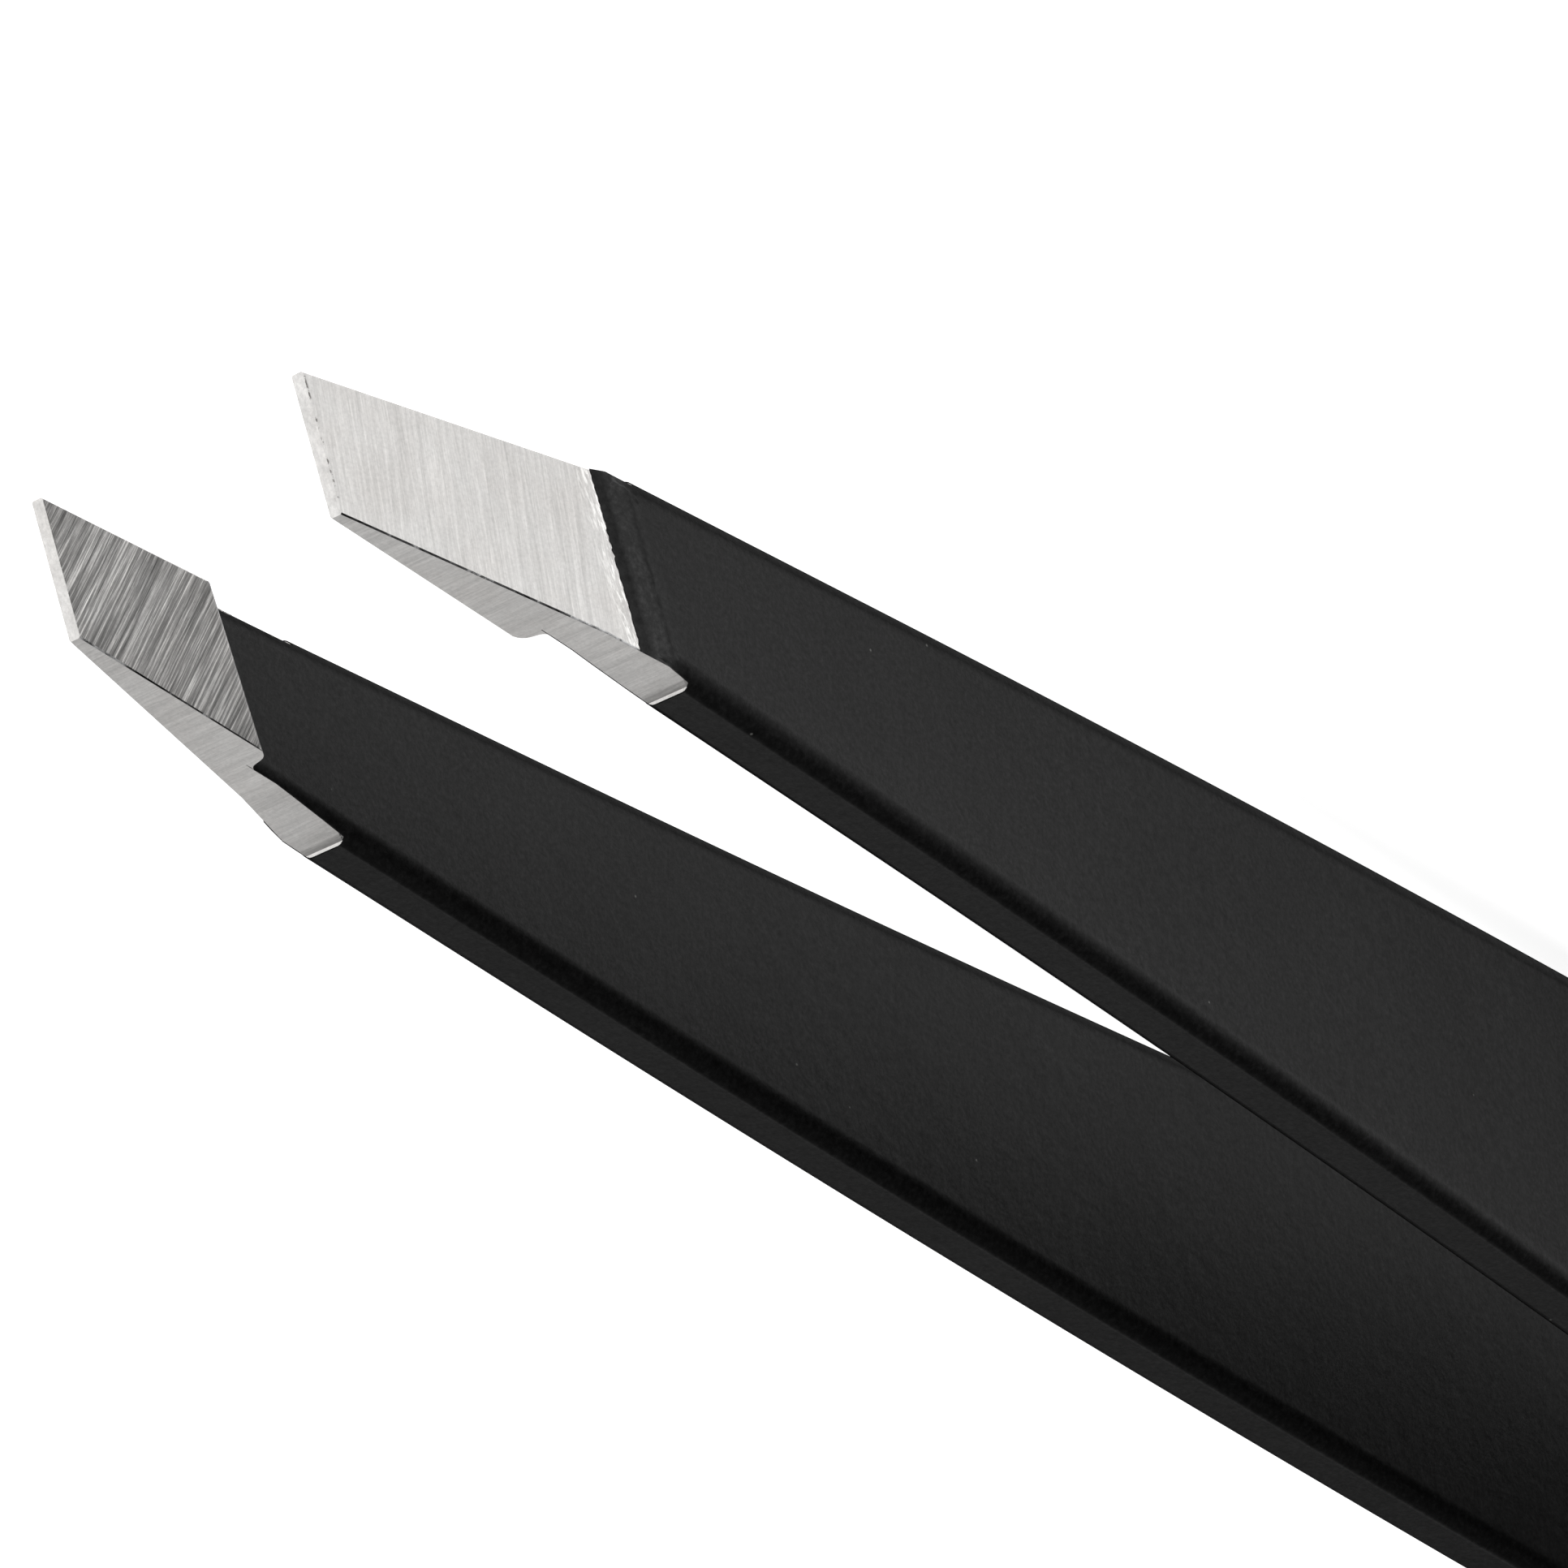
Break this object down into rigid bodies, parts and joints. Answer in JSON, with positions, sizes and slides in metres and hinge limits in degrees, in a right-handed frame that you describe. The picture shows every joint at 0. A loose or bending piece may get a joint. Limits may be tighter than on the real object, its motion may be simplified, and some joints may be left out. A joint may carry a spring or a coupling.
{
  "type": "slant tweezers",
  "caption": "Sprung tweezers of two bowed strips with a matte black coat, bare ground slanted tips, raised gripping pads and a welded tail.",
  "frame": {"origin": "under the middle of the length, on the lower side edges and in the mid-plane between the arms", "axes": "+X from the welded tail to the tips, +Y towards the left arm, +Z across the arms' width"},
  "size_m": [0.095, 0.01, 0.0092],
  "materials": {
    "steel": "ground, fine scratches",
    "weld": "as welded",
    "coat": "matte powder coat"
  },
  "bodies": {
    "tail": {"left_tail": "steel", "right_tail": "steel", "spot_welds": "weld", "tail_coat": "coat"},
    "left_blade": {"left_arm": "steel", "left_coat": "coat"},
    "right_blade": {"right_arm": "steel", "right_coat": "coat"}
  },
  "joints": [
    {"name": "right_arm_flex", "type": "hinge", "parent": "tail", "child": "right_blade", "pos_m": [-0.03553, -0.00066, 0.0046], "axis": [0, 0, 1], "range_deg": [0, 2.17], "stiffness_Nm_per_rad": 3},
    {"name": "left_arm_flex", "type": "hinge", "parent": "tail", "child": "left_blade", "pos_m": [-0.03553, 0.00066, 0.0046], "axis": [0, 0, -1], "range_deg": [0, 2.17], "stiffness_Nm_per_rad": 3}
  ],
  "couplings": [
    {"joint": "left_arm_flex", "follows": "right_arm_flex", "ratio": 1}
  ]
}
